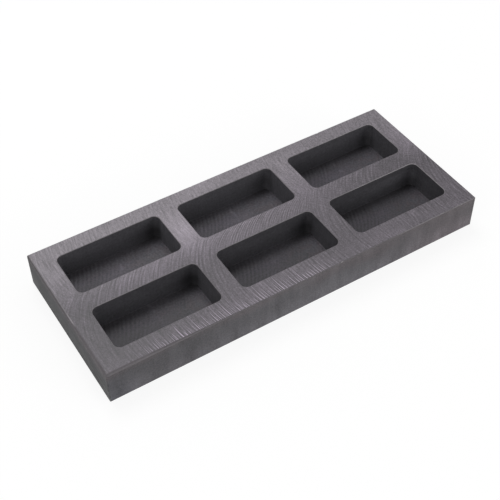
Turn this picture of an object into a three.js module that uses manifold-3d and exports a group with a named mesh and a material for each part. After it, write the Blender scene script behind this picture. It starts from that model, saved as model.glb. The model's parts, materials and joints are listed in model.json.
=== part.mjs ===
// Graphite ingot mould: one solid block of graphite with two rows of three bar pockets milled
// into its top face. It has no moving or separate piece.
//
// Millimetres, +Z up. The origin is at the middle of the underside. X runs along the block, and
// the near row of pockets is on the -Y side.

import * as THREE from 'three';
import { mergeVertices } from 'three/addons/utils/BufferGeometryUtils.js';
import Module from 'manifold-3d';

// Pockets, measured at their mouths in the top face
const columns = 3;
const rows = 2;
const pocketLength = 58.4;
const pocketWidth = 28.8;
const pocketDepth = 15;
const pocketCornerRadius = 3.5;
const wallDraftDegrees = 1.5;

// Graphite left round the pockets. The two rows and three columns sit a little off the middle.
const ribBetweenColumns = 11.6;
const ribBetweenRows = 11.6;
const leftWall = 11.4;
const rightWall = 10.2;
const nearWall = 11.4;
const farWall = 9.4;
const floorThickness = 5;

// Flats rubbed on the sharp outer edges
const topEdgeBreak = 1;
const uprightEdgeBreak = 0.6;
const bottomEdgeBreak = 0.4;

// How far a cut runs on past the face it starts from
const overrun = 2;

// Straight pieces in a quarter turn of a pocket's corner
const cornerSegments = 8;

// Sizes that follow from those above
const columnPitch = pocketLength + ribBetweenColumns;
const rowPitch = pocketWidth + ribBetweenRows;
const blockLength = leftWall + columns * columnPitch - ribBetweenColumns + rightWall;
const blockWidth = nearWall + rows * rowPitch - ribBetweenRows + farWall;
const blockHeight = floorThickness + pocketDepth;
const draftInset = pocketDepth * Math.tan(THREE.MathUtils.degToRad(wallDraftDegrees));

const wasm = await Module();
wasm.setup();

// Closed solid for joining and cutting, from a three.js geometry
function toSolid(geometry) {
  const bare = geometry.clone();
  bare.deleteAttribute('normal');
  bare.deleteAttribute('uv');
  const merged = mergeVertices(bare);
  return new wasm.Manifold(new wasm.Mesh({
    numProp: 3,
    vertProperties: new Float32Array(merged.attributes.position.array),
    triVerts: new Uint32Array(merged.index.array),
  }));
}

// three.js geometry with flat faces, from a solid
function toGeometry(solid) {
  const mesh = solid.getMesh();
  const indexed = new THREE.BufferGeometry();
  indexed.setAttribute('position', new THREE.BufferAttribute(mesh.vertProperties, 3));
  indexed.setIndex(new THREE.BufferAttribute(mesh.triVerts, 1));
  const geometry = indexed.toNonIndexed();
  geometry.computeVertexNormals();
  return geometry;
}

// Rectangle about the origin with its four corners cut off at 45 degrees
function brokenRectangle(length, width, cornerBreak) {
  const x = length / 2;
  const y = width / 2;
  const shape = new THREE.Shape();
  shape.moveTo(-x + cornerBreak, -y);
  shape.lineTo(x - cornerBreak, -y);
  shape.lineTo(x, -y + cornerBreak);
  shape.lineTo(x, y - cornerBreak);
  shape.lineTo(x - cornerBreak, y);
  shape.lineTo(-x + cornerBreak, y);
  shape.lineTo(-x, y - cornerBreak);
  shape.lineTo(-x, -y + cornerBreak);
  shape.closePath();
  return shape;
}

// Rectangle about the origin with its four corners rounded
function roundedRectangle(length, width, radius) {
  const x = length / 2 - radius;
  const y = width / 2 - radius;
  const quarter = Math.PI / 2;
  const shape = new THREE.Shape();
  shape.absarc(x, -y, radius, -quarter, 0);
  shape.absarc(x, y, radius, 0, quarter);
  shape.absarc(-x, y, radius, quarter, 2 * quarter);
  shape.absarc(-x, -y, radius, 2 * quarter, 3 * quarter);
  shape.closePath();
  return shape;
}

// Slab from bottom to top whose plan is the block's, with both its end edges broken by edgeBreak
function slab(bottom, top, edgeBreak) {
  const geometry = new THREE.ExtrudeGeometry(
    brokenRectangle(blockLength, blockWidth, uprightEdgeBreak),
    {
      depth: top - bottom - 2 * edgeBreak,
      bevelThickness: edgeBreak,
      bevelSize: edgeBreak,
      bevelOffset: -edgeBreak,
      bevelSegments: 1,
    },
  );
  geometry.translate(0, 0, bottom + edgeBreak);
  return toSolid(geometry);
}

// The block before any pocket is cut. One slab brings its top edges and the other its bottom ones.
function blankBlock() {
  const upper = slab(-overrun - topEdgeBreak, blockHeight, topEdgeBreak);
  const lower = slab(0, blockHeight + overrun + bottomEdgeBreak, bottomEdgeBreak);
  return upper.intersect(lower);
}

// What the cutter takes out of one pocket. Its plan is the pocket's floor, and its sides lean out
// to the size of the mouth at the block's top face.
function pocketCut(x, y) {
  const mouthRadius = Math.min(pocketCornerRadius, pocketWidth / 2);
  const floor = roundedRectangle(
    pocketLength - 2 * draftInset,
    pocketWidth - 2 * draftInset,
    Math.max(mouthRadius - draftInset, 0),
  );
  const geometry = new THREE.ExtrudeGeometry(floor, {
    depth: overrun,
    bevelThickness: pocketDepth,
    bevelSize: draftInset,
    bevelSegments: 1,
    curveSegments: cornerSegments,
  });
  geometry.translate(x, y, blockHeight);
  return toSolid(geometry);
}

function buildMouldBlock() {
  let block = blankBlock();
  const firstX = -blockLength / 2 + leftWall + pocketLength / 2;
  const firstY = -blockWidth / 2 + nearWall + pocketWidth / 2;
  for (let row = 0; row < rows; row += 1) {
    for (let column = 0; column < columns; column += 1) {
      block = block.subtract(pocketCut(firstX + column * columnPitch, firstY + row * rowPitch));
    }
  }
  return block;
}

const graphite = new THREE.MeshStandardMaterial({ color: 0x6e696b, roughness: 0.55, metalness: 0.2 });

const mouldBlock = new THREE.Mesh(toGeometry(buildMouldBlock()), graphite);
mouldBlock.name = 'mould_block';

const group = new THREE.Group();
group.add(mouldBlock);

export default group;
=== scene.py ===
"""Graphite ingot mould: a milled graphite block with two rows of three bar pockets.

The block is one piece. Its blank is lofted from rings with hand-rubbed edges, the pockets and
the small chips are cut from it by a node tree, and each kind of surface has its own finish.
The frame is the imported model's: X along the block, +Z up, the near side at -Y. Shapes are in
metres, and the finishes in millimetres.
"""
import json
import logging
import math
from collections.abc import Callable
from dataclasses import dataclass
from enum import Enum
from typing import ClassVar, TypeAlias

import bmesh
import bpy
from bpy.types import ID, Material, Node, NodeSocket, NodeTree, Object
from mathutils import Matrix, Vector, noise


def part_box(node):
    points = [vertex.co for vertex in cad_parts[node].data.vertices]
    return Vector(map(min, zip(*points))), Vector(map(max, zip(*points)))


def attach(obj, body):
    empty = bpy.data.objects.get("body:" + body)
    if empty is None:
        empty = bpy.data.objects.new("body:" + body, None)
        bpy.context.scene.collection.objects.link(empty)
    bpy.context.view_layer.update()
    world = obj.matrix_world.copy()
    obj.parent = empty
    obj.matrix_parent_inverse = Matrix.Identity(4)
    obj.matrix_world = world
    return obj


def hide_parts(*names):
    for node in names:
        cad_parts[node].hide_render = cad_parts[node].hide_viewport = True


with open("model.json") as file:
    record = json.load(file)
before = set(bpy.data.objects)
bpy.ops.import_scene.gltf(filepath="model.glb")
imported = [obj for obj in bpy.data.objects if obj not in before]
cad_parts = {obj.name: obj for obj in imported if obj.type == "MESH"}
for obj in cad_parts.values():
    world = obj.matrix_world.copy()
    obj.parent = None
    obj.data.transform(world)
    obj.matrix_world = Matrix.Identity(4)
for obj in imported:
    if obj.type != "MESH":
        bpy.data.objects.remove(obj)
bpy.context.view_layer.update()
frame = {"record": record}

Number: TypeAlias = "Value | float"
Colour: TypeAlias = tuple[float, float, float]
Limits: TypeAlias = tuple[float, ...]
Areas: TypeAlias = "tuple[Area | Patch, ...]"
Look: TypeAlias = "tuple[NodeSocket, Value]"

NODE = "mould_block"
MM = 0.001
WHITE = (1, 1, 1, 1)

# Middle of the far middle pocket in plan, and the way from one pocket to the next, in millimetres
POCKET_MIDDLE = (0.6, 21.2)
POCKET_PITCH = (70, 40.4)

# Unlike weights for X and Y, so that the middle of each pocket gives a number of its own
POCKET_KEY = (0.37, 0.91)

# Limits along Y of the two rows of pockets, and along X of the left end, of the edge beside it
# and of all that is past that edge, in millimetres
NEAR_ROW = (6, -4)
FAR_ROW = (-4, 6)
LEFT_END = (-109, -109.6)
LEFT_EDGE = (-107.4, -108.4)
PAST_LEFT = (-108.4, -107.4)

log = logging.getLogger("ingot_mould")
logging.basicConfig(level=logging.INFO, format="%(name)s: %(message)s")


class Zone(Enum):
    """Kinds of surface on the block, each with a finish of its own."""

    SIDE = "sawn_side"
    EDGE = "rubbed_edge"
    TOP = "milled_top"
    WALL = "pocket_wall"
    FLOOR = "pocket_floor"
    CHIP = "fresh_chip"


def operator(operation: str, turned: bool = False) -> "Callable[..., Value]":
    """Method of Value that adds a Math node.

    Args:
        operation: The node's operation.
        turned: Whether the value is the node's last term and not its first.

    Returns:
        The method, which takes the other terms.
    """

    def method(self: "Value", *others: Number) -> "Value":
        """Result of the Math node."""
        terms = (*others, self) if turned else (self, *others)
        return self.graph.value("ShaderNodeMath", {"operation": operation}, dict(enumerate(terms)))

    return method


class Value:
    """A number that a node gives, with Python's operators as Math nodes."""

    def __init__(self, graph: "Graph", socket: NodeSocket) -> None:
        """Wraps an output of a node in a graph."""
        self.graph = graph
        self.socket = socket

    __add__ = operator("ADD")
    __radd__ = operator("ADD", turned=True)
    __sub__ = operator("SUBTRACT")
    __rsub__ = operator("SUBTRACT", turned=True)
    __mul__ = operator("MULTIPLY")
    __rmul__ = operator("MULTIPLY", turned=True)
    __truediv__ = operator("DIVIDE")
    __rtruediv__ = operator("DIVIDE", turned=True)
    __pow__ = operator("POWER")
    __rpow__ = operator("POWER", turned=True)
    at_least = operator("MAXIMUM")
    over = operator("GREATER_THAN")
    root = operator("SQRT")
    absolute = operator("ABSOLUTE")
    rounded = operator("ROUND")
    sine = operator("SINE")
    between = operator("WRAP")

    def wave(self, pitch: float, shift: Number = 0) -> "Value":
        """Sine wave of this pitch, moved by a shift in radians."""
        return (self * (2 * math.pi / pitch) + shift).sine()

    def wrap(self, pitch: float) -> "Value":
        """The value's distance from the nearest multiple of a pitch, with its sign."""
        return self.between(pitch / 2, -pitch / 2)

    def step(self, start: float, end: float) -> "Value":
        """Smooth rise from nought to one.

        Args:
            start: Where it is still nought. It may be the larger of the two.
            end: Where it has come to one.

        Returns:
            The smoothed step.
        """
        limits = {"From Min": min(start, end), "From Max": max(start, end)}
        ends = {"To Min": float(start > end), "To Max": float(start < end)}
        return self.graph.value(
            "ShaderNodeMapRange",
            {"interpolation_type": "SMOOTHSTEP"},
            {"Value": self, **limits, **ends},
        )


def distance(x: Value, y: Value) -> Value:
    """How far a place is from where both of its coordinates are nought."""
    return (x * x + y * y).root()


class Graph:
    """Adds nodes to one node tree."""

    def __init__(self, tree: NodeTree) -> None:
        """Empties the tree."""
        self.tree = tree
        tree.nodes.clear()

    def node(
        self, kind: str, settings: dict | None = None, inputs: dict | None = None
    ) -> Node:
        """Adds a node.

        Args:
            kind: The node's type.
            settings: Its properties, set before its sockets.
            inputs: Numbers, colours or links for its sockets, by name or number.

        Returns:
            The new node.
        """
        made = self.tree.nodes.new(kind)
        for name, setting in (settings or {}).items():
            setattr(made, name, setting)
        for key, given in (inputs or {}).items():
            self.feed(made.inputs[key], given)
        return made

    def output(
        self, kind: str, settings: dict | None = None, inputs: dict | None = None
    ) -> NodeSocket:
        """Adds a node and gives its first output."""
        return self.node(kind, settings, inputs).outputs[0]

    def value(self, kind: str, settings: dict | None = None, inputs: dict | None = None) -> Value:
        """Adds a node and gives its first output as a number."""
        return Value(self, self.output(kind, settings, inputs))

    def feed(self, socket: NodeSocket, given: object) -> None:
        """Links or sets one input.

        Args:
            socket: The input.
            given: A number, colour, value or output, or a list of outputs that all go in.
        """
        for each in given if isinstance(given, list) else [given]:
            if isinstance(each, Value):
                self.tree.links.new(each.socket, socket)
            elif isinstance(each, NodeSocket):
                self.tree.links.new(each, socket)
            else:
                socket.default_value = each


class CutTree(Graph):
    """Geometry tree with named inputs.

    Attributes:
        given: The inputs, by name.
    """

    def __init__(self, inputs: dict[str, object]) -> None:
        """Makes the tree and its inputs.

        Args:
            inputs: What each input will get, by the input's name.
        """
        super().__init__(bpy.data.node_groups.new("cut_pockets", "GeometryNodeTree"))
        sockets = self.tree.interface
        for way in ("OUTPUT", "INPUT"):
            sockets.new_socket("Geometry", in_out=way, socket_type="NodeSocketGeometry")
        kinds = {Object: "NodeSocketObject", float: "NodeSocketFloat", int: "NodeSocketInt"}
        for name, amount in inputs.items():
            sockets.new_socket(name, in_out="INPUT", socket_type=kinds[type(amount)])
        self.given = self.node("NodeGroupInput").outputs

    def number(self, name: str) -> Value:
        """One of the inputs as a number."""
        return Value(self, self.given[name])

    def random(self, kind: str, low: object, high: object, more: int) -> NodeSocket:
        """Random numbers or vectors between two limits.

        Args:
            kind: Number or vector, as the node names it.
            low: Lower limit.
            high: Upper limit.
            more: Added to the seed.

        Returns:
            The random output.
        """
        seed = {"Seed": self.number("Seed") + float(more)}
        made = self.node("FunctionNodeRandomValue", {"data_type": kind}, seed)
        limits = [each for each in made.inputs if each.enabled and each.name in ("Min", "Max")]
        for socket, limit in zip(limits, (low, high)):
            self.feed(socket, limit)
        return next(each for each in made.outputs if each.enabled)

    def set_finish(self, solid: NodeSocket, finish: Material, where: object = True) -> NodeSocket:
        """The solid with a finish where it is told to."""
        inputs = {"Geometry": solid, "Material": finish, "Selection": where}
        return self.output("GeometryNodeSetMaterial", inputs=inputs)


@dataclass(frozen=True)
class Grain:
    """Noise over a surface, in millimetres.

    Attributes:
        size: Width of its patches.
        detail: Octaves.
        roughness: Weight of the finer octaves.
    """

    size: float
    detail: float = 2
    roughness: float = 0.5


class Surface(Graph):
    """A material's tree, with the coordinates and mixtures that the finishes share.

    Attributes:
        material: The material.
        x, y, z: Place in the block's frame, in millimetres.
        pocket_x, pocket_y: Place in plan from the middle of the nearest pocket.
        pocket: Number that differs from one pocket to the next.
    """

    def __init__(self, zone: Zone) -> None:
        """Makes the material and its coordinates.

        Args:
            zone: The kind of surface that it is for.
        """
        self.material = bpy.data.materials.new(zone.value)
        self.material.use_nodes = True
        super().__init__(self.material.node_tree)
        place = self.node("ShaderNodeTexCoord").outputs["Object"]
        split = self.node("ShaderNodeSeparateXYZ", inputs={"Vector": place})
        self.x, self.y, self.z = (Value(self, socket) / MM for socket in split.outputs)
        self.pocket_x = (self.x - POCKET_MIDDLE[0]).wrap(POCKET_PITCH[0])
        self.pocket_y = (self.y - POCKET_MIDDLE[1]).wrap(POCKET_PITCH[1])
        middle_x, middle_y = self.x - self.pocket_x, self.y - self.pocket_y
        self.pocket = middle_x * POCKET_KEY[0] + middle_y * POCKET_KEY[1]
        self._rises: dict[tuple[str, float, float], Value] = {}

    def rise(self, name: str, start: float, end: float) -> Value:
        """Smooth step along one coordinate, made once for all that use it.

        Args:
            name: The coordinate's name.
            start: Where the step is still nought.
            end: Where it has come to one.

        Returns:
            The step.
        """
        key = (name, start, end)
        if key not in self._rises:
            self._rises[key] = getattr(self, name).step(start, end)
        return self._rises[key]

    def total(self, areas: Areas, start: Number = 0) -> Number:
        """Sum of what areas and patches add to a start."""
        return sum((area.lay(self) for area in areas), start)

    def grain(self, grain: Grain, *place: Number) -> Value:
        """Noise from nought to one.

        Args:
            grain: The kind of noise.
            place: Three coordinates to take it at, or none for the surface's own.

        Returns:
            The noise.
        """
        x, y, z = place or (self.x, self.y, self.z)
        inputs = {
            "Vector": self.output("ShaderNodeCombineXYZ", inputs={"X": x, "Y": y, "Z": z}),
            "Scale": 1 / grain.size,
            "Detail": grain.detail,
            "Roughness": grain.roughness,
        }
        return self.value("ShaderNodeTexNoise", {"noise_dimensions": "3D"}, inputs)

    def uneven(self, grain: Grain, *place: Number) -> Value:
        """The same noise, but about nought."""
        return self.grain(grain, *place) - 0.5

    def luck(self, number: Value, seed: float) -> Value:
        """Random number from nought to one, the same wherever the given number is the same."""
        chance = {"W": number + seed}
        return self.value("ShaderNodeTexWhiteNoise", {"noise_dimensions": "1D"}, chance)

    def comb(self, across: Value, pitch: float, seed: float) -> tuple[Value, Value]:
        """Lines side by side at an uneven pitch.

        Args:
            across: Coordinate across the lines, in millimetres.
            pitch: Mean distance between lines.
            seed: Keeps one comb's lines apart from another's.

        Returns:
            Nearness to the nearest line, from nought halfway between lines to one on the line, and
            that line's number.
        """
        waver = self.grain(Grain(5, 1), across, 0, seed) * 1.4
        phase = across / pitch + waver
        number = phase.rounded()
        return 1 - (phase - number).absolute() * 2, number

    def tint(self, colour: Colour | NodeSocket, brightness: Value) -> NodeSocket:
        """A colour made lighter or darker."""
        inputs = {0: colour, "Scale": brightness}
        return self.output("ShaderNodeVectorMath", {"operation": "SCALE"}, inputs)

    def mix(
        self, share: Number, start: Colour | NodeSocket, end: Colour | NodeSocket
    ) -> NodeSocket:
        """A mixture of two colours.

        Args:
            share: Nought for the first, one for the second.
            start: The first colour.
            end: The second colour.

        Returns:
            The mixture.
        """
        made = self.node("ShaderNodeMix", {"data_type": "RGBA", "clamp_factor": True})
        self.feed(made.inputs["Factor"], share)
        for socket, given in zip((s for s in made.inputs if s.type == "RGBA"), (start, end)):
            self.feed(socket, (*given, 1) if isinstance(given, tuple) else given)
        return next(s for s in made.outputs if s.type == "RGBA")


@dataclass(frozen=True)
class Area:
    """Part of a surface, which fades in and out along each coordinate that it names.

    Limits are in millimetres. The first two are where the area begins to show and where it
    shows in full. Two more, if given, are where it begins to fade and where it has gone.

    Attributes:
        strength: What it adds where it shows in full.
        x, y, z: Limits in the block's frame.
        pocket_x, pocket_y: Limits from the middle of the nearest pocket.
    """

    strength: float = 1
    x: Limits = ()
    y: Limits = ()
    z: Limits = ()
    pocket_x: Limits = ()
    pocket_y: Limits = ()

    def lay(self, surface: Surface) -> Number:
        """What the area adds at each place.

        Args:
            surface: The surface that it is on.

        Returns:
            Its strength, faded towards its limits.
        """
        shown: Number = self.strength
        for name in ("x", "y", "z", "pocket_x", "pocket_y"):
            limits = getattr(self, name)
            coming, going = limits[:2], limits[:1:-1]
            for pair in filter(None, (coming, going)):
                shown = surface.rise(name, *pair) * shown
        return shown


@dataclass(frozen=True)
class Patch:
    """Round patch that fades from its middle to its rim, in millimetres.

    Attributes:
        x, y: Its middle.
        radius: From its middle to its rim, along Y.
        strength: What it adds at its middle.
        stretch: How many times further its rim is along X.
    """

    x: float
    y: float
    radius: float
    strength: float
    stretch: float = 1

    def lay(self, surface: Surface) -> Value:
        """What the patch adds at each place."""
        away = distance((surface.x - self.x) / self.stretch, surface.y - self.y)
        return away.step(self.radius, 0) * self.strength


@dataclass(frozen=True)
class Arc:
    """Arcs that a cutter leaves as it goes along X, in millimetres.

    Attributes:
        centre: The cutter's path along Y.
        radius: The cutter's radius.
        turn: One where the arcs bulge to -X, minus one where they bulge to +X.
    """

    centre: float
    radius: float
    turn: float

    def across(self, x: Value, y: Value) -> Value:
        """Distance across the arcs, the same all along each of them."""
        rise = y - self.centre
        return x + self.turn * (self.radius**2 - rise * rise).at_least(1).root()


@dataclass(frozen=True)
class CutterPass(Arc):
    """Lines that one pass of the face cutter left.

    Attributes:
        seed: Keeps one pass's lines apart from another's.
        hair: How plainly its hair lines show.
        turns: How plainly the line at each turn of the cutter shows.
        feed: How far the cutter went in one turn.
    """

    seed: float
    hair: float
    turns: float
    feed: float = 2.3

    def lines(self, surface: Surface) -> Value:
        """A line at each turn of the cutter, and hair lines between.

        Args:
            surface: The surface that they are on.

        Returns:
            The lines, about nought.
        """
        across = self.across(surface.x, surface.y)
        hair = surface.uneven(Grain(0.8, 2, 0.65), across, surface.y * 0.06, self.seed)
        nearness, number = surface.comb(across, self.feed, self.seed)
        force = surface.grain(Grain(8), surface.x, surface.y, self.seed + 3).step(0.3, 0.7)
        own = surface.luck(number, self.seed)
        line = (nearness.step(0.15, 0.95) - 0.42) * (own + 0.2) * (force * 0.8 + 0.25)
        return hair * self.hair + line * self.turns


@dataclass(frozen=True)
class Finish:
    """What every finish of the block has.

    Attributes:
        zone: The kind of surface that it is for.
        colour: Its main colour, as linear red, green and blue.
        roughness: Roughness.
        sheen: Index of refraction, which sets how strongly the surface shines.
        relief: What a height of one stands for, in millimetres.
    """

    zone: ClassVar[Zone]
    colour: Colour
    roughness: float
    sheen: float
    relief: float

    def dress(self, surface: Surface) -> Look:
        """Works out how the surface looks at each place.

        Args:
            surface: The surface.

        Returns:
            Its colour, and its height from nought to one.
        """
        raise NotImplementedError

    def make(self) -> Material:
        """Makes the material.

        Returns:
            The material.
        """
        surface = Surface(self.zone)
        colour, height = self.dress(surface)
        bump = {"Height": height, "Distance": self.relief * MM, "Strength": 1}
        look = {
            "Base Color": colour,
            "Roughness": self.roughness,
            "IOR": self.sheen,
            "Normal": surface.output("ShaderNodeBump", inputs=bump),
        }
        shader = surface.output("ShaderNodeBsdfPrincipled", inputs=look)
        surface.node("ShaderNodeOutputMaterial", inputs={"Surface": shader})
        return surface.material


@dataclass(frozen=True)
class MilledTop(Finish):
    """Face-milled top with the arcs of three passes, bright scratches and a soft sheen.

    Attributes:
        near_heel: Back of the cutter on the near pass, as far_heel is on the far one.
        seam: Where the far pass takes over, along Y.
        middle: Where the middle pass shows, with a hatch where its lines stand out.
        crossed: Where the near heel shows.
        line_force: What is added to the force of all lines, as calm is to the near ones'.
        cast: Share of the purple.
    """

    zone: ClassVar[Zone] = Zone.TOP
    colour: Colour = (0.1253, 0.1122, 0.1271)
    purple: Colour = (0.1345, 0.1122, 0.1425)
    roughness: float = 0.46
    sheen: float = 1.75
    relief: float = 0.012
    near_pass: CutterPass = CutterPass(
        centre=-32, radius=58, turn=1, seed=0, hair=1.8, turns=0.6
    )
    near_heel: CutterPass = CutterPass(
        centre=-30, radius=42, turn=-1, seed=60, hair=0.8, turns=0.3
    )
    middle_pass: CutterPass = CutterPass(
        centre=-30, radius=42, turn=1, seed=20, hair=1, turns=1, feed=1.7
    )
    far_pass: CutterPass = CutterPass(
        centre=26, radius=66, turn=1, seed=40, hair=1.15, turns=0.16
    )
    far_heel: CutterPass = CutterPass(
        centre=26, radius=60, turn=-1, seed=80, hair=0.55, turns=0.1
    )
    seam: tuple[float, float] = (5.5, 9)
    middle: Area = Area(x=(-31, -21, 25, 36), y=(-7, -2))
    hatch: Patch = Patch(x=-4, y=7, radius=13, strength=1.2, stretch=3)
    crossed: Areas = (Area(x=(-40, 70)), Area(0.8, x=(-86, -102)))
    left: Area = Area(x=(-40, -95))
    line_force: Areas = (
        Area(-0.2, x=(-40, -95)),
        Area(0.7, x=(-40, -95), y=(-28, -6)),
    )
    calm: Areas = (Area(-0.4, x=(16, 30, 60, 76), y=(-26, -34)),)
    scratched: Areas = (
        Area(0.05),
        Area(1, x=(-98, -70, -12, 30)),
        Area(0.4, x=(0, 6, 8, 16)),
        Area(0.2, x=(34, 42, 60, 72)),
    )
    # Painted sheen: the top lighter towards the far side, where the far pass shines more
    far_painted_sheen: Areas = (Area(0.81, y=(-7.7, 27.8)),)
    cast: Areas = (
        Area(0.44, y=(40, 2)),
        Area(0.56, x=(20, -90), y=(12, -5)),
    )
    # Broad lighter and darker patches: partly the top's own uneven tone, partly painted light and
    # shade
    patches: Areas = (
        Patch(x=-34, y=12, radius=22, strength=0.56, stretch=0.7),
        Patch(x=-93, y=-22, radius=60, strength=-0.61),
        Patch(x=-43, y=-12, radius=43, strength=-0.54, stretch=0.8),
        Patch(x=111, y=12, radius=27, strength=0.3, stretch=0.8),
        Patch(x=84, y=1, radius=59, strength=-0.33),
        Patch(x=27, y=-27, radius=25, strength=-0.27, stretch=1.4),
        Patch(x=-47, y=7, radius=49, strength=0.31, stretch=1.3),
        Patch(x=-10, y=47, radius=17, strength=0.27, stretch=1.5),
    )

    def dress(self, surface: Surface) -> Look:
        """Works out how the top looks.

        Args:
            surface: The surface.

        Returns:
            Its colour and height.
        """
        x, y = surface.x, surface.y
        lines = self._lines(surface)
        scratches = self._scratches(surface)
        cloud = surface.uneven(Grain(22, 3, 0.55), x, y, 11)
        speck = surface.uneven(Grain(0.75, 2, 0.8), x, y, 5)
        tone = 1 + cloud * 0.3 + speck * (2 - self.left.lay(surface) * 0.7)
        # Broad patches, partly painted light and shade
        tone = surface.total(self.patches, tone + self._strokes(surface))
        # Painted sheen, lighter towards the far side
        tone = tone * surface.total(self.far_painted_sheen, 1)
        base = surface.mix(surface.total(self.cast), self.colour, self.purple)
        colour = surface.tint(base, tone * (1 + lines) + scratches)
        return colour, 0.5 + lines + scratches * 0.4 + speck * 0.3

    def _lines(self, surface: Surface) -> Value:
        """Lines of all the passes, each where it shows.

        Args:
            surface: The surface that they are on.

        Returns:
            The lines, about nought.
        """
        waver = surface.uneven(Grain(14), surface.x, surface.y, 3) * 4
        far = (surface.y + waver).step(*self.seam)
        middle = self.middle.lay(surface)
        near = self.near_pass.lines(surface) * (1 - middle)
        near = near + self.middle_pass.lines(surface) * middle * (1 + self.hatch.lay(surface))
        near = near + self.near_heel.lines(surface) * surface.total(self.crossed)
        near = near * surface.total(self.calm, 1)
        beyond = self.far_pass.lines(surface) + self.far_heel.lines(surface)
        return (near * (1 - far) + beyond * far) * surface.total(self.line_force, 1)

    def _strokes(self, surface: Surface) -> Value:
        """Mottle, and broad soft strokes of the near pass, which cross at the left.

        Args:
            surface: The surface that they are on.

        Returns:
            What they add to the tone.
        """
        x, y = surface.x, surface.y
        found = surface.uneven(Grain(4.5, 3, 0.6), x, y, 15) * 0.22
        force = surface.rise("x", -20, -85) * 0.42 + 0.06
        for cut, seed in ((self.near_pass, 25), (self.near_heel, 65)):
            stroke = surface.uneven(Grain(2.4, 2, 0.6), cut.across(x, y), y * 0.12, seed)
            found = found + stroke * force
        return found

    def _scratches(self, surface: Surface) -> Value:
        """Bright scratches of the near pass: two combs, strongest at the near edge.

        Args:
            surface: The surface that they are on.

        Returns:
            What they add to the brightness.
        """
        across = self.near_pass.across(surface.x, surface.y)
        from_edge = surface.y + 45
        found: Number = 0
        for pitch, seed, strength in ((1.7, 0, 2), (1.05, 200, 1.2)):
            nearness, number = surface.comb(across, pitch, seed)
            length = surface.luck(number, seed + 500) ** 3 * 12 + 3.5
            own = surface.luck(number, seed + 900)
            line = nearness.step(0.58, 1) * 1.4 - nearness.step(0.1, 0.6) * 0.2
            line = line * (own * own * 1.2 + 0.35)
            found = line * (length - from_edge).step(-1.5, 2) * strength + found
        force = from_edge.step(9, 2) * 0.7 + 0.3
        return found * force * surface.total(self.scratched)


@dataclass(frozen=True)
class PocketFloor(Finish):
    """Floor milled by a small cutter, with slanting ridges at the left and rings at the right.

    Attributes:
        ring_middle: Middle of the rings, from the middle of the pocket.
        plunge_x: Where the cutter came down, along X from there.
        witness: Where the thin line between two passes shows.
        painted_shade: Where painted shade darkens the floor, mostly by the far wall and in the far
            right corners, with a little painted light.
        level: What is added to the brightness of the whole floor.
    """

    zone: ClassVar[Zone] = Zone.FLOOR
    colour: Colour = (0.071, 0.0685, 0.082)
    warm: Colour = (0.082, 0.0685, 0.079)
    purple: Colour = (0.0785, 0.0685, 0.090)
    dull: Colour = (0.0715, 0.0685, 0.0787)
    roughness: float = 0.52
    sheen: float = 1.6
    relief: float = 0.02
    arc: Arc = Arc(centre=30, radius=55, turn=-1)
    ridge_pitch: float = 2.35
    ring_middle: tuple[float, float] = (15, 1)
    ring_pitch: float = 1.9
    plunge_x: float = 1.5
    witness: Area = Area(pocket_x=(1, -4), pocket_y=(0.2, 0.7, 0.7, 1.2))
    purple_share: Area = Area(0.8, pocket_x=(20, -8), pocket_y=(9, 3))
    dull_share: Area = Area(0.7, pocket_y=(4, 9))
    # Painted shade where the walls shade the floor, with a little painted light in places
    painted_shade: Areas = (
        Area(0.26, y=NEAR_ROW, pocket_y=(6, 13.5)),
        Area(0.26, y=FAR_ROW, pocket_y=(9, 14)),
        Area(0.28, y=NEAR_ROW, pocket_x=(28, 8), pocket_y=(8.5, 0.5)),
        Area(0.12, y=FAR_ROW, pocket_x=(4, -16), pocket_y=(8.5, 0.5)),
        Area(0.28, x=(40, 70), pocket_y=(9, 14)),
        Area(0.12, pocket_x=(-4, -20), pocket_y=(5, 0)),
        Area(-0.11, x=(75, 45), pocket_y=(2, 7, 7, 12)),
        Area(0.55, pocket_x=(9, 27), pocket_y=(7, 14)),
        Area(-0.22, x=(60, 90), pocket_x=(9, 27), pocket_y=(7, 14)),
    )
    level: Areas = (
        Area(0.17, pocket_x=(-18, 4)),
        Area(0.15, pocket_x=(14, 26)),
        Area(0.18, y=FAR_ROW),
        Area(-0.1, x=(45, 75), y=FAR_ROW),
        Area(-0.04, x=(-30, -60)),
    )

    def dress(self, surface: Surface) -> Look:
        """Works out how the floor looks.

        Args:
            surface: The surface.

        Returns:
            Its colour and height.
        """
        x, y, pocket = surface.pocket_x, surface.pocket_y, surface.pocket
        drift = surface.grain(Grain(9), x, y, pocket)
        across = self.arc.across(x, y)
        ridge = across.wave(self.ridge_pitch, drift * 3)
        left = x.step(6, -14)
        from_rings = distance(x - self.ring_middle[0], y - self.ring_middle[1])
        ring = from_rings.wave(self.ring_pitch) * x.step(2, 12)
        hair = surface.uneven(Grain(0.8, 3, 0.65), across, y * 0.05, pocket + 4)
        speck = surface.uneven(Grain(1.1, 3, 0.75), surface.x, surface.y, 2)
        lines = ridge * (left * drift * 0.45 + 0.04) + ring * 0.07 + hair * 0.9 + speck * 2.8
        from_plunge = (x - self.plunge_x + (drift - 0.5) * 2).absolute()
        plunge = from_plunge.step(1.8, 0) * y.step(-3, 2)
        plunge = plunge * surface.grain(Grain(3), x, y, pocket + 8).step(0.4, 0.7)
        witness = self.witness.lay(surface) * drift.step(0.35, 0.6)
        bright = 1 + lines * 0.7 + plunge * 0.45 + witness * 0.25 + (drift - 0.5) * 0.22
        # Painted shade near the walls, then the level of each part of the floor
        bright = bright * (1 - surface.total(self.painted_shade)) * surface.total(self.level, 0.88)
        warmth = surface.grain(Grain(4, 3, 0.7), surface.x, surface.y, 60).step(0.35, 0.7)
        base = surface.mix(warmth, self.colour, self.warm)
        base = surface.mix(self.purple_share.lay(surface), base, self.purple)
        base = surface.mix(self.dull_share.lay(surface), base, self.dull)
        return surface.tint(base, bright), 0.5 + lines + plunge * 0.2


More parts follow.
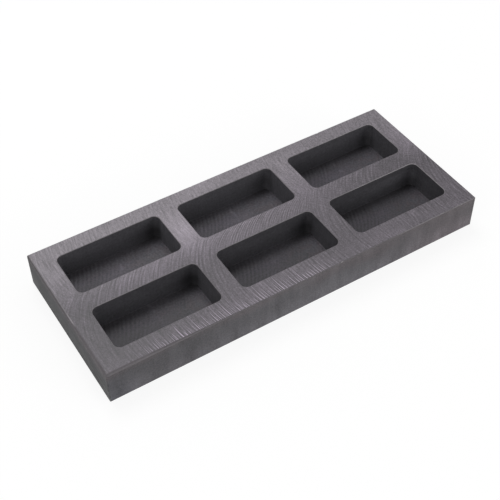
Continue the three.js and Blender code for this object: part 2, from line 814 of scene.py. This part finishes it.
@dataclass(frozen=True)
class PocketWall(Finish):
    """Wall left by the side of a cutter: steps in depth, close upright chatter, and painted shade.

    Attributes:
        step_height: Height of one step of the cutter's way down.
        right: Where the right wall is.
        painted_shade: Painted shade on the walls, darker high up, at the foot and in the far right
            corners, with right_painted_shade for the right one alone.
    """

    zone: ClassVar[Zone] = Zone.WALL
    colour: Colour = (0.0765, 0.0745, 0.083)
    roughness: float = 0.5
    sheen: float = 1.6
    relief: float = 0.008
    step_height: float = 2.5
    right: Area = Area(pocket_x=(27, 28.5), pocket_y=(13.5, 9))
    painted_shade: Areas = (
        # Painted shade by height: darker high up and at the foot
        Area(0.21, z=(11, 17.5)),
        Area(-0.16, y=FAR_ROW, z=(11, 17.5)),
        Area(-0.3, z=(11.5, 6)),
        Area(0.35, z=(5.7, 5.1)),
        # Painted shade in the far right corners
        Area(0.62, x=(80, 40), z=(17, 8), pocket_x=(13, 26), pocket_y=(9, 13)),
        Area(0.42, x=(70, 90), z=(15, 6), pocket_x=(18, 26), pocket_y=(9, 13)),
        Area(0.15, z=(17, 9), pocket_x=(20, 27), pocket_y=(7, 13)),
        Area(0.1, x=(-20, -40), z=(17, 9), pocket_x=(20, 27), pocket_y=(7, 13)),
        # Less painted shade in the middle pocket of the far row
        Area(
            -0.3,
            x=(-42, -22, 38, 50),
            y=FAR_ROW,
            z=(17, 8),
            pocket_x=(13, 26),
            pocket_y=(9, 13),
        ),
        Area(-0.14, x=(-42, -22, 38, 50), y=FAR_ROW, z=(14, 9)),
        # Less painted shade: a pale band on the far wall of the near right pocket
        Area(-0.3, x=(55, 85), y=NEAR_ROW, z=(8, 13, 15.5, 17.5), pocket_y=(9, 13)),
    )
    # Painted shade on the right wall alone: darker to the right and towards the foot
    right_painted_shade: Areas = (
        Area(-0.08),
        Area(0.2, x=(-40, 110)),
        Area(-0.08, y=FAR_ROW),
        Area(0.32, z=(15, 7)),
        Area(-0.14, pocket_y=(-12, 4)),
    )

    def dress(self, surface: Surface) -> Look:
        """Works out how the walls look.

        Args:
            surface: The surface.

        Returns:
            Its colour and height.
        """
        x, y, z = surface.x, surface.y, surface.z
        cloud = surface.uneven(Grain(7, 3, 0.6))
        steps = z.wave(self.step_height, cloud * 2)
        chatter = surface.uneven(Grain(1), x, y, z * 0.06)
        speck = surface.uneven(Grain(1.1, 3, 0.75))
        right = self.right.lay(surface)
        lines = steps * 0.04 + chatter * (0.5 + right * 0.5) + speck * 2.4
        # Painted shade, with more of it on the right wall
        painted_shade = surface.total(self.painted_shade) + right * surface.total(self.right_painted_shade)
        bright = (1 + lines * 0.6 + cloud * 0.3) * (1 - painted_shade)
        return surface.tint(self.colour, bright), 0.5 + lines


@dataclass(frozen=True)
class SawnSide(Finish):
    """Outer sides and underside: ground flat, with soft upright stains and a warmer right end.

    Attributes:
        warm, cool: Colours at the right and the left of the near side.
        end_foot, end_top: Colours of the left end.
        rubbed: Colour where hands have rubbed it.
        foot, rightwards, upper: What is added to the brightness of every side; foot is painted
            light, lighter towards the bottom as if thrown up from the white floor.
        end_shade, end_corner: What is added on the left end.
    """

    zone: ClassVar[Zone] = Zone.SIDE
    colour: Colour = (0.111, 0.107, 0.1165)
    warm: Colour = (0.123, 0.109, 0.118)
    cool: Colour = (0.099, 0.098, 0.1125)
    end_foot: Colour = (0.0727, 0.0735, 0.0758)
    end_top: Colour = (0.0745, 0.0735, 0.0825)
    rubbed: Colour = (0.107, 0.0915, 0.098)
    roughness: float = 0.55
    sheen: float = 1.5
    relief: float = 0.012
    end: Area = Area(x=LEFT_END)
    # Painted light: lighter towards the bottom, standing in for light from the white floor
    foot: Areas = (Area(0.54, z=(13.5, -1)), Area(-0.05, x=LEFT_END))
    rightwards: Areas = (Area(0.16, x=(-75, 15)),)
    upper: Areas = (
        Area(-0.06, x=LEFT_END[::-1], z=(12, 17)),
        Area(0.09, x=(-70, -30), z=(12, 17)),
        Area(-0.09, x=(15, 50), z=(12, 17)),
    )
    end_shade: Areas = (
        Area(0.1, x=LEFT_END, y=(-20, -45)),
        Area(-0.35, x=LEFT_END, y=(0, 45), z=(0, 17)),
    )
    end_corner: Areas = (
        Area(0.18, x=LEFT_END, y=(-30, -43), z=(9, 3)),
    )

    def dress(self, surface: Surface) -> Look:
        """Works out how the sides look.

        Args:
            surface: The surface.

        Returns:
            Its colour and height.
        """
        x, y, z = surface.x, surface.y, surface.z
        blot = surface.grain(Grain(26), x, y, z + 40)
        wear = (z + blot * 6).step(17, 22.5)
        streak = surface.uneven(Grain(2.6), x, y, z * 0.12)
        speck = surface.uneven(Grain(0.9, 3, 0.75))
        saw = surface.uneven(Grain(1.9), z, (x + y) * 0.04, 6)
        bright = self._stains(surface) + streak * 0.4
        end = self.end.lay(surface)
        bright = bright + speck * (1.9 + end * 0.9) + saw * (0.15 + end * 0.8)
        # Painted light from the floor, lighter towards the bottom
        bright = bright * (surface.total(self.foot, 0.87) + wear * 0.1)
        bright = bright * surface.total(self.rightwards, 0.92)
        for areas in (self.upper, self.end_shade, self.end_corner):
            bright = bright * surface.total(areas, 1)
        base = surface.mix((x + blot * 34).step(58, 108), self.colour, self.warm)
        base = surface.mix((x + blot * 30).step(-78, -100), base, self.cool)
        on_end = surface.mix(surface.rise("z", 6, 16), self.end_foot, self.end_top)
        base = surface.mix(end, base, on_end)
        smudge = (x + blot * 20).step(0, 18) * x.step(74, 48)
        smudge = smudge * (z + blot * 8).step(13, 21)
        handled = (wear * (end * 0.15 + 0.7)).at_least(smudge * 0.75)
        base = surface.mix(handled, base, self.rubbed)
        colour = surface.tint(base, bright.at_least(0.5))
        return colour, 0.5 + speck * 0.8 + saw * 0.5 + streak * 0.3

    def _stains(self, surface: Surface) -> Value:
        """Soft upright stains, and level bands on the left end.

        Args:
            surface: The surface that they are on.

        Returns:
            The stains, about one.
        """
        x, y, z = surface.x, surface.y, surface.z
        stain = surface.uneven(Grain(9, 3, 0.55), x, y, z * 0.45)
        band = surface.uneven(Grain(3.4), z, y * 0.035, 14)
        return 1 + stain + band * self.end.lay(surface) * 0.8


@dataclass(frozen=True)
class RubbedEdge(Finish):
    """Edge rubbed with abrasive paper, with a painted highlight: a pale line where it meets the
    top face.

    Attributes:
        line: Where the painted highlight shows.
        shade: What is added to the brightness.
    """

    zone: ClassVar[Zone] = Zone.EDGE
    colour: Colour = (0.100, 0.0885, 0.098)
    # Colour of the painted highlight
    painted_highlight: Colour = (0.33, 0.305, 0.325)
    roughness: float = 0.5
    sheen: float = 1.7
    relief: float = 0.02
    line: Areas = (
        Area(0.38, x=PAST_LEFT, y=(-43.6, -43)),
        Area(0.1, x=LEFT_EDGE),
        Area(0.8, x=LEFT_EDGE, y=(-9, -4)),
        Area(0.4, x=(50, 66)),
        Patch(x=-109.3, y=-5.5, radius=6, strength=1.3),
    )
    shade: Areas = (
        Area(-0.1, y=(-43.6, -44.3)),
        Area(0.12, x=(*PAST_LEFT, -95, -60)),
        Area(-0.25, x=LEFT_EDGE, y=(-8, 4)),
    )

    def dress(self, surface: Surface) -> Look:
        """Works out how the edges look.

        Args:
            surface: The surface.

        Returns:
            Its colour and height.
        """
        x, y, z = surface.x, surface.y, surface.z
        cloud = surface.uneven(Grain(6, 3, 0.6))
        speck = surface.uneven(Grain(0.9, 3, 0.7))
        fleck = surface.grain(Grain(1.3, 3, 0.65), x, y, z + 9).step(0.58, 0.72)
        patchy = surface.grain(Grain(7), x, y, 4).step(0.25, 0.6) * 0.5 + 0.5
        # Painted highlight along the top of the edge
        line = surface.rise("z", 19.6, 19.8) * surface.total(self.line) * patchy
        bright = 1 + cloud * 0.45 + speck * 0.7 + fleck * 0.3
        bright = bright * surface.total(self.shade, 1)
        colour = surface.tint(surface.mix(line, self.colour, self.painted_highlight), bright)
        return colour, 0.5 + speck * 0.8 + fleck * 0.3 + cloud * 0.3


@dataclass(frozen=True)
class FreshChip(Finish):
    """Bare grain inside a chip: pale and rough."""

    zone: ClassVar[Zone] = Zone.CHIP
    colour: Colour = (0.24, 0.225, 0.23)
    roughness: float = 0.6
    sheen: float = 1.5
    relief: float = 0.03

    def dress(self, surface: Surface) -> Look:
        """Colour and height of the chips."""
        speck = surface.uneven(Grain(0.5, 3, 0.7))
        return surface.tint(self.colour, 1 + speck * 0.5), 0.5 + speck


@dataclass(frozen=True)
class EdgeBreak:
    """Widths of the rubbed top edge along each side of the block, in metres.

    Attributes:
        near, left: First and last width along the near side and the left end.
        near_fade, left_fade: Where along X and along Y they have them.
        waver_share, ripple_share: How much the widths vary, slowly and quickly.
        waver_length, ripple_length: Over what length.
    """

    near: tuple[float, float] = (1.2 * MM, 0.36 * MM)
    near_fade: tuple[float, float] = (-100 * MM, -25 * MM)
    left: tuple[float, float] = (1.05 * MM, 1.15 * MM)
    left_fade: tuple[float, float] = (40 * MM, -40 * MM)
    right: float = 0.28 * MM
    far: float = 0.28 * MM
    waver_share: float = 0.06
    waver_length: float = 9 * MM
    ripple_share: float = 0.03
    ripple_length: float = 2.2 * MM

    def widths(self, place: Vector) -> tuple[float, float]:
        """Widths in from the end and from the long side that are nearest to a place.

        Args:
            place: The place in plan, on the block's outline.

        Returns:
            The width from the end and the width from the long side, in metres.
        """
        waver = noise.noise(Vector((place.x, place.y, 0)) / self.waver_length)
        ripple = noise.noise(Vector((place.x, place.y, self.waver_length)) / self.ripple_length)
        uneven = 1 + self.waver_share * waver + self.ripple_share * ripple
        end = self._fade(place.y, self.left_fade, self.left) if place.x < 0 else self.right
        side = self._fade(place.x, self.near_fade, self.near) if place.y < 0 else self.far
        return end * uneven, side * uneven

    @staticmethod
    def _fade(at: float, between: tuple[float, float], widths: tuple[float, float]) -> float:
        """Width that goes smoothly from the first to the last between two places.

        Args:
            at: Where the width is asked for.
            between: The two places.
            widths: The first and the last width.

        Returns:
            The width there.
        """
        share = max(0, min(1, (at - between[0]) / (between[1] - between[0])))
        share = share * share * (3 - 2 * share)
        return widths[0] + (widths[1] - widths[0]) * share


@dataclass(frozen=True)
class Outline:
    """Rectangle in plan with rounded corners.

    Attributes:
        length, width: Size along X and Y.
        radius: Corner radius.
        corner_steps: Straight pieces in a corner.
        side_step: Longest piece of a straight side.
    """

    length: float
    width: float
    radius: float
    corner_steps: int
    side_step: float

    def points(self) -> list[tuple[Vector, Vector]]:
        """Goes round the outline, anticlockwise.

        Returns:
            Its points, each with its direction outwards.
        """
        across = self.length / 2 - self.radius
        up = self.width / 2 - self.radius
        corners = [(across, -up, -90), (across, up, 0), (-across, up, 90), (-across, -up, 180)]
        found: list[tuple[Vector, Vector]] = []
        for index, (x, y, start) in enumerate(corners):
            for step in range(self.corner_steps + 1):
                angle = math.radians(start + 90 * step / self.corner_steps)
                outward = Vector((math.cos(angle), math.sin(angle)))
                found.append((Vector((x, y)) + outward * self.radius, outward))
            begin, outward = found[-1]
            after = corners[(index + 1) % len(corners)]
            end = Vector(after[:2]) + outward * self.radius
            pieces = max(1, round((end - begin).length / self.side_step))
            for piece in range(1, pieces):
                found.append((begin.lerp(end, piece / pieces), outward))
        return found


def add_object(name: str, data: ID) -> Object:
    """Makes an object and puts it in the scene.

    Args:
        name: The object's name.
        data: What it is made of.

    Returns:
        The object.
    """
    made = bpy.data.objects.new(name, data)
    bpy.context.collection.objects.link(made)
    return made


def loft(name: str, rings: list[list[Vector]]) -> Object:
    """Closed solid through rings of equally many points, from the lowest to the highest.

    Args:
        name: Name of the object.
        rings: The rings, anticlockwise seen from above.

    Returns:
        The object.
    """
    mesh = bmesh.new()
    made = [[mesh.verts.new(point) for point in ring] for ring in rings]
    for lower, upper in zip(made, made[1:]):
        for index in range(len(lower)):
            after = (index + 1) % len(lower)
            mesh.faces.new((lower[index], lower[after], upper[after], upper[index]))
    mesh.faces.new(list(reversed(made[0])))
    mesh.faces.new(made[-1])
    data = bpy.data.meshes.new(name)
    mesh.to_mesh(data)
    mesh.free()
    return add_object(name, data)


@dataclass(frozen=True)
class Blank(Outline):
    """The block before its pockets are cut, in metres.

    Attributes:
        foot_break: Width of the broken edge round the underside.
        guard: From an edge to the ring that keeps the face beside it flat.
    """

    radius: float = 0.45 * MM
    corner_steps: int = 8
    side_step: float = 1 * MM
    height: float = 20 * MM
    foot_break: float = 0.15 * MM
    guard: float = 0.4 * MM
    edge_steps: int = 5
    edge: EdgeBreak = EdgeBreak()

    def build(self) -> Object:
        """Lofts the blank from its underside to its top face.

        Returns:
            The blank's object.
        """
        outline = self.points()
        edge = [self.edge.widths(place) for place, _ in outline]
        widths = [
            across * abs(outward.x) ** 2 + along * abs(outward.y) ** 2
            for (across, along), (_, outward) in zip(edge, outline)
        ]
        pulls = [self._pull(place) for place, _ in outline]
        # For each ring: how far in, as a share of the rubbed edge and in metres, then its height
        # and the share of the edge's width by which it lies lower
        levels = [
            (0, self.foot_break + self.guard, 0, 0),
            (0, self.foot_break, 0, 0),
            (0, 0, self.foot_break, 0),
            (0, 0, self.foot_break + self.guard, 0),
            (0, 0, self.height - (max(widths) + self.guard), 0),
        ]
        for step in range(self.edge_steps + 1):
            share = step / self.edge_steps
            turn = share * math.pi / 2
            inward = (share + 1 - math.cos(turn)) / 2
            levels.append((inward, 0, self.height, (1 - share + 1 - math.sin(turn)) / 2))
        levels.append((1, self.guard, self.height, 0))
        rings = [
            [
                Vector((
                    place.x - pull.x * (across * share + extra),
                    place.y - pull.y * (along * share + extra),
                    height - width * drop,
                ))
                for (place, _), (across, along), pull, width in zip(outline, edge, pulls, widths)
            ]
            for share, extra, height, drop in levels
        ]
        return loft("blank", rings)

    def _pull(self, place: Vector) -> Vector:
        """Share of an inset that moves this place along X and Y, so that corners move as one."""
        limits = (self.length / 2 - self.radius, self.width / 2 - self.radius)
        return Vector([max(-1, min(1, at / limit)) for at, limit in zip(place, limits)])


@dataclass(frozen=True)
class PocketCut(Outline):
    """What is cut out for one pocket, in metres, with its origin at the middle of the mouth.

    Attributes:
        draft: How far the foot of each wall lies in from the mouth.
        rim_break: Width of the broken edge at the rim.
        foot_radius: Radius between wall and floor.
        guard: From an edge to the ring that keeps the face beside it flat.
        rise: How far the cut goes on above the top face.
    """

    length: float = 58.4 * MM
    width: float = 28.8 * MM
    radius: float = 3.5 * MM
    corner_steps: int = 14
    side_step: float = 2 * MM
    depth: float = 15 * MM
    draft: float = 15 * MM * math.tan(math.radians(1.5))
    rim_break: float = 0.26 * MM
    foot_radius: float = 0.15 * MM
    foot_steps: int = 3
    guard: float = 0.5 * MM
    rise: float = 2 * MM

    def build(self) -> Object:
        """Lofts the cut from its floor to above the rim.

        Returns:
            The cut's object.
        """
        radius = self.foot_radius
        levels = [(-self.draft - radius - self.guard, -self.depth)]
        for step in range(self.foot_steps + 1):
            turn = step / self.foot_steps * math.pi / 2
            levels.append((
                -self.draft - radius * (1 - math.sin(turn)),
                -self.depth + radius * (1 - math.cos(turn)),
            ))
        for above_floor in (radius + self.guard, self.depth - self.rim_break - self.guard):
            lean = self.draft * (above_floor / self.depth - 1)
            levels.append((lean, above_floor - self.depth))
        levels.append((0, -self.rim_break))
        levels.append((self.rim_break + self.rise, self.rise))
        rings = [
            [Vector((*(place + outward * offset), height)) for place, outward in self.points()]
            for offset, height in levels
        ]
        return loft("pocket_cut", rings)


@dataclass(frozen=True)
class Chips:
    """Small chips broken out of the top edges.

    Attributes:
        spacing: From one possible chip to the next along the edge, in metres.
        share: Share of those places that have a chip.
        smallest, largest: Limits of a chip's radius.
        stretch: How many times longer than wide a chip is, along the edge.
        drift: How far a chip may lie from its place.
    """

    spacing: float = 2.7 * MM
    share: float = 0.08
    smallest: float = 0.22 * MM
    largest: float = 0.42 * MM
    stretch: float = 2.4
    drift: float = 0.2 * MM
    seed: int = 7

    def balls(self, tree: CutTree, finish: Material) -> NodeSocket:
        """Small balls scattered along the top edges, for cutting chips.

        Args:
            tree: The tree that cuts them.
            finish: Finish inside a chip.

        Returns:
            The balls' mesh.
        """
        size = {"Width": tree.given["Length"], "Height": tree.given["Width"]}
        edge = tree.output("GeometryNodeCurvePrimitiveQuadrilateral", {"mode": "RECTANGLE"}, size)
        evenly = {"Curve": edge, "Length": self.spacing}
        spots = tree.output("GeometryNodeResampleCurve", {"mode": "LENGTH"}, evenly)
        points = tree.node("GeometryNodeCurveToPoints", {"mode": "EVALUATED"}, {"Curve": spots})
        reach = Vector((self.drift * 2, self.drift, self.drift))
        drift = tree.random("FLOAT_VECTOR", tuple(-reach), tuple(reach), 1)
        raised = tree.output("ShaderNodeCombineXYZ", inputs={"Z": tree.given["Top"]})
        offset = tree.output("ShaderNodeVectorMath", {"operation": "ADD"}, {0: drift, 1: raised})
        shift = {"Geometry": points.outputs[0], "Offset": offset}
        radius = tree.random("FLOAT", tree.given["Smallest chip"], tree.given["Largest chip"], 2)
        luck = Value(tree, tree.random("FLOAT", 0, 1, 3))
        ball = tree.output("GeometryNodeMeshIcoSphere", inputs={"Radius": 1, "Subdivisions": 2})
        along = {0: (1, 1, self.stretch), "Scale": radius}
        balls = {
            "Points": tree.output("GeometryNodeSetPosition", inputs=shift),
            "Selection": (tree.number("Chip share") - luck).over(0),
            "Instance": ball,
            "Rotation": points.outputs["Rotation"],
            "Scale": tree.output("ShaderNodeVectorMath", {"operation": "SCALE"}, along),
        }
        scattered = tree.output("GeometryNodeInstanceOnPoints", inputs=balls)
        solid = tree.output("GeometryNodeRealizeInstances", inputs={0: scattered})
        return tree.set_finish(solid, finish)


@dataclass(frozen=True)
class MouldBlock:
    """The whole block, cut and dressed.

    Attributes:
        low, high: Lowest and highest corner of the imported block.
        centres: Middle of each pocket in plan.
        crease: Angle from which an edge is drawn sharp.
        slack: How far a face may be from the top or a floor and still count as it.
        level: Upward share of its normal from which a face counts as level.
        outer_lean, rim_lean: The same for a rubbed edge, outside and at a pocket's rim.
        rim_reach: How far down a face still counts as a rim's, as a share of its break.
    """

    low: Vector
    high: Vector
    centres: list[Vector]
    finishes: dict[Zone, Material]
    pocket: PocketCut = PocketCut()
    chips: Chips = Chips()
    crease: float = math.radians(33)
    slack: float = 0.05 * MM
    level: float = 0.99
    outer_lean: float = 0.02
    rim_lean: float = 0.3
    rim_reach: float = 1.5

    def build(self) -> Object:
        """Cuts the pockets from the blank and dresses the block.

        Returns:
            The finished block.
        """
        size = self.high - self.low
        data = bpy.data.meshes.new(NODE + "_places")
        data.from_pydata([(c.x, c.y, self.high.z) for c in self.centres], [], [])
        block = add_object("mould", data)
        inputs = {
            "Blank": Blank(size.x, size.y, height=size.z).build(),
            "Pocket cut": self.pocket.build(),
            "Top": self.high.z,
            "Floor": self.high.z - self.pocket.depth,
            "Length": size.x,
            "Width": size.y,
            "Chip share": self.chips.share,
            "Smallest chip": self.chips.smallest,
            "Largest chip": self.chips.largest,
            "Seed": self.chips.seed,
        }
        tree = CutTree(inputs)
        self._dress(tree)
        modifier = block.modifiers.new("cut", "NODES")
        modifier.node_group = tree.tree
        for socket in tree.tree.interface.items_tree:
            if socket.name in inputs:
                modifier[socket.identifier] = inputs[socket.name]
        evaluated = block.evaluated_get(bpy.context.evaluated_depsgraph_get())
        mesh = bpy.data.meshes.new_from_object(evaluated)
        block.modifiers.clear()
        block.data = mesh
        for spare in (inputs["Blank"], inputs["Pocket cut"]):
            bpy.data.objects.remove(spare)
        mesh.shade_smooth()
        mesh.set_sharp_from_angle(angle=self.crease)
        return block

    def _dress(self, tree: CutTree) -> None:
        """Cuts a pocket at each point and gives every face its finish.

        Args:
            tree: The tree that does it.
        """
        solid = self._carved(tree)
        for zone, mask in self._masks(tree):
            solid = tree.set_finish(solid, self.finishes[zone], mask.over(0.5))
        tree.node("NodeGroupOutput", inputs={0: solid})

    def _carved(self, tree: CutTree) -> NodeSocket:
        """The blank without its pockets and chips.

        Args:
            tree: The tree that cuts them.

        Returns:
            The solid that is left.
        """
        blank, cut = (
            tree.node("GeometryNodeObjectInfo", inputs={"Object": tree.given[name]}).outputs
            for name in ("Blank", "Pocket cut")
        )
        places = {"Points": tree.given["Geometry"], "Instance": cut["Geometry"]}
        cuts = tree.output("GeometryNodeInstanceOnPoints", inputs=places)
        pockets = tree.output("GeometryNodeRealizeInstances", inputs={0: cuts})
        balls = self.chips.balls(tree, self.finishes[Zone.CHIP])
        meshes = {"Mesh 1": blank["Geometry"], "Mesh 2": [pockets, balls]}
        how = {"operation": "DIFFERENCE", "solver": "EXACT"}
        carved = tree.output("GeometryNodeMeshBoolean", how, meshes)
        return tree.output("GeometryNodeRealizeInstances", inputs={0: carved})

    def _masks(self, tree: CutTree) -> list[tuple[Zone, Value]]:
        """Where each finish goes, in the order in which one goes over another.

        Args:
            tree: The tree that dresses the block.

        Returns:
            Kinds of surface, each with one on its faces and nought elsewhere.
        """
        facing, place = (
            tree.node("ShaderNodeSeparateXYZ", inputs={0: tree.output(kind)}).outputs
            for kind in ("GeometryNodeInputNormal", "GeometryNodeInputPosition")
        )
        up = Value(tree, facing["Z"])
        x, y, height = (Value(tree, socket) for socket in place)
        below_top = tree.number("Top") - height
        above_floor = height - tree.number("Floor")
        flat = up.over(self.level)
        inside = self._inside(x, y)
        inner = {"Material": self.finishes[Zone.CHIP]}
        whole = 1 - tree.value("GeometryNodeMaterialSelection", inputs=inner)
        at_rim = (self.pocket.rim_break * self.rim_reach - below_top).over(0)
        return [
            (Zone.SIDE, whole),
            (Zone.EDGE, up.over(self.outer_lean) * (1 - inside) * whole),
            (Zone.WALL, inside * whole),
            (Zone.TOP, flat * (self.slack - below_top).over(0) * whole),
            (Zone.FLOOR, flat * (self.slack - above_floor.absolute()).over(0) * inside * whole),
            (Zone.EDGE, up.over(self.rim_lean) * at_rim * inside * (1 - flat)),
        ]

    def _inside(self, x: Value, y: Value) -> Value:
        """One within any pocket's mouth in plan, else nought.

        Args:
            x: A place's coordinate along the block.
            y: Its coordinate from the near side to the far side.

        Returns:
            The mask.
        """
        half_length = self.pocket.length / 2 + self.pocket.rim_break
        half_width = self.pocket.width / 2 + self.pocket.rim_break
        found: Number = 0
        for centre in self.centres:
            in_length = (half_length - (x - centre.x).absolute()).over(0)
            in_width = (half_width - (y - centre.y).absolute()).over(0)
            found = in_length * in_width + found
        return found


def bearing(azimuth: float, elevation: float, away: float, roll: float = 0) -> Matrix:
    """Place on a bearing from the origin, looking back at it.

    Args:
        azimuth: Bearing in degrees, nought at -Y and turning to +X.
        elevation: Height above the horizon, in degrees.
        away: Distance from the origin, in metres.
        roll: Turn about the line of sight, in degrees.

    Returns:
        The matrix of what is put there.
    """
    turn = Matrix.Rotation(math.radians(azimuth), 4, "Z")
    lift = Matrix.Rotation(math.radians(90 - elevation), 4, "X")
    lean = Matrix.Rotation(math.radians(roll), 4, "Z")
    return turn @ lift @ lean @ Matrix.Translation((0, 0, away))


@dataclass(frozen=True)
class Lamp:
    """A soft box.

    Attributes:
        azimuth, elevation: Bearing from the block and height above the horizon, in degrees.
        size: Its width and height, in metres.
        power: In watts.
        away: Distance from the block, in metres.
    """

    name: str
    azimuth: float
    elevation: float
    size: tuple[float, float]
    power: float
    away: float = 1.4

    def build(self) -> None:
        """Hangs the lamp, facing the block."""
        data = bpy.data.lights.new(self.name, "AREA")
        data.shape = "RECTANGLE"
        data.size, data.size_y = self.size
        data.energy = self.power
        lamp = add_object(self.name, data)
        lamp.matrix_world = bearing(self.azimuth, self.elevation, self.away)


@dataclass(frozen=True)
class Studio:
    """White floor, soft lamps and the light all round.

    Attributes:
        sky: Strength of the light all round.
        paper: Colour of the floor in the light.
        white: How strongly the camera sees the floor as white.
        shadow_share: How much of the floor's own light and shade the camera sees.
    """

    sky: float = 0.46
    floor_size: float = 6
    paper: tuple[float, ...] = (0.95, 0.95, 0.95, 1)
    white: float = 1.07
    shadow_share: float = 0.2
    lamps: tuple[Lamp, ...] = (
        Lamp("key", azimuth=180, elevation=63, size=(0.65, 0.65), power=5),
        Lamp("front_fill", azimuth=27, elevation=16, size=(0.9, 0.4), power=4.2),
        Lamp("left_fill", azimuth=288, elevation=23, size=(0.9, 0.5), power=2),
    )

    def build(self) -> None:
        """Makes the floor, the lamps and the world."""
        self._floor()
        self._world()
        for lamp in self.lamps:
            lamp.build()

    def _floor(self) -> None:
        """White floor that still takes the block's shadow."""
        half = self.floor_size / 2
        data = bpy.data.meshes.new("floor")
        corners = [(-half, -half, 0), (half, -half, 0), (half, half, 0), (-half, half, 0)]
        data.from_pydata(corners, [], [(0, 1, 2, 3)])
        floor = add_object("floor", data)
        material = bpy.data.materials.new("white_floor")
        material.use_nodes = True
        graph = Graph(material.node_tree)
        shares = {
            0: self._seen(graph) * (1 - self.shadow_share),
            1: graph.output("ShaderNodeBsdfDiffuse", inputs={"Color": self.paper}),
            2: graph.output("ShaderNodeEmission", inputs={"Color": WHITE, "Strength": self.white}),
        }
        both = graph.output("ShaderNodeMixShader", inputs=shares)
        graph.node("ShaderNodeOutputMaterial", inputs={"Surface": both})
        data.materials.append(material)

    def _world(self) -> None:
        """Even light from all round, which the camera sees as white."""
        world = bpy.data.worlds.new("studio")
        bpy.context.scene.world = world
        world.use_nodes = True
        graph = Graph(world.node_tree)
        strength = self.sky + self._seen(graph) * (1 - self.sky)
        sky = graph.output("ShaderNodeBackground", inputs={"Color": WHITE, "Strength": strength})
        graph.node("ShaderNodeOutputWorld", inputs={"Surface": sky})

    @staticmethod
    def _seen(graph: Graph) -> Value:
        """One for what the camera itself sees, else nought."""
        return Value(graph, graph.node("ShaderNodeLightPath").outputs["Is Camera Ray"])


@dataclass(frozen=True)
class Camera:
    """The camera, aimed at a point in the block.

    Attributes:
        aim: What the middle of the picture shows, in metres.
        away: Distance from there, in metres.
        azimuth, elevation: Bearing from there and height above the horizon, in degrees.
        roll: Turn about its own axis, in degrees.
        sensor, lens: Width of the sensor and focal length, in millimetres.
    """

    aim: tuple[float, float, float] = (-0.007321, -0.004892, 0.010183)
    away: float = 0.529915
    azimuth: float = -31.4875
    elevation: float = 46.3467
    roll: float = -0.8052
    sensor: float = 36
    lens: float = 72.9725

    def build(self) -> None:
        """Makes the camera the scene's own."""
        data = bpy.data.cameras.new("camera")
        data.lens = self.lens
        data.sensor_width = self.sensor
        camera = add_object("camera", data)
        place = bearing(self.azimuth, self.elevation, self.away, self.roll)
        camera.matrix_world = Matrix.Translation(self.aim) @ place
        bpy.context.scene.camera = camera


def pocket_centres() -> list[Vector]:
    """Middle of each pocket in plan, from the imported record's openings."""
    boxes = [opening["box_m"] for opening in frame["record"]["physics"]["openings"]]
    return [(Vector(low) + Vector(high)).to_2d() / 2 for low, high in boxes]


def make_finishes() -> dict[Zone, Material]:
    """One material for each kind of surface."""
    finishes = (SawnSide(), RubbedEdge(), MilledTop(), PocketWall(), PocketFloor(), FreshChip())
    return {finish.zone: finish.make() for finish in finishes}


def main() -> None:
    """Builds the camera, the studio and the block, in that order."""
    bpy.context.scene.view_settings.view_transform = "Standard"
    Camera().build()
    Studio().build()
    low, high = (Vector(corner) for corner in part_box(NODE))
    block = MouldBlock(low, high, pocket_centres(), make_finishes()).build()
    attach(block, "root")
    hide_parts(NODE)
    log.info("%s: %d faces", block.name, len(block.data.polygons))


if __name__ == "__main__":
    main()
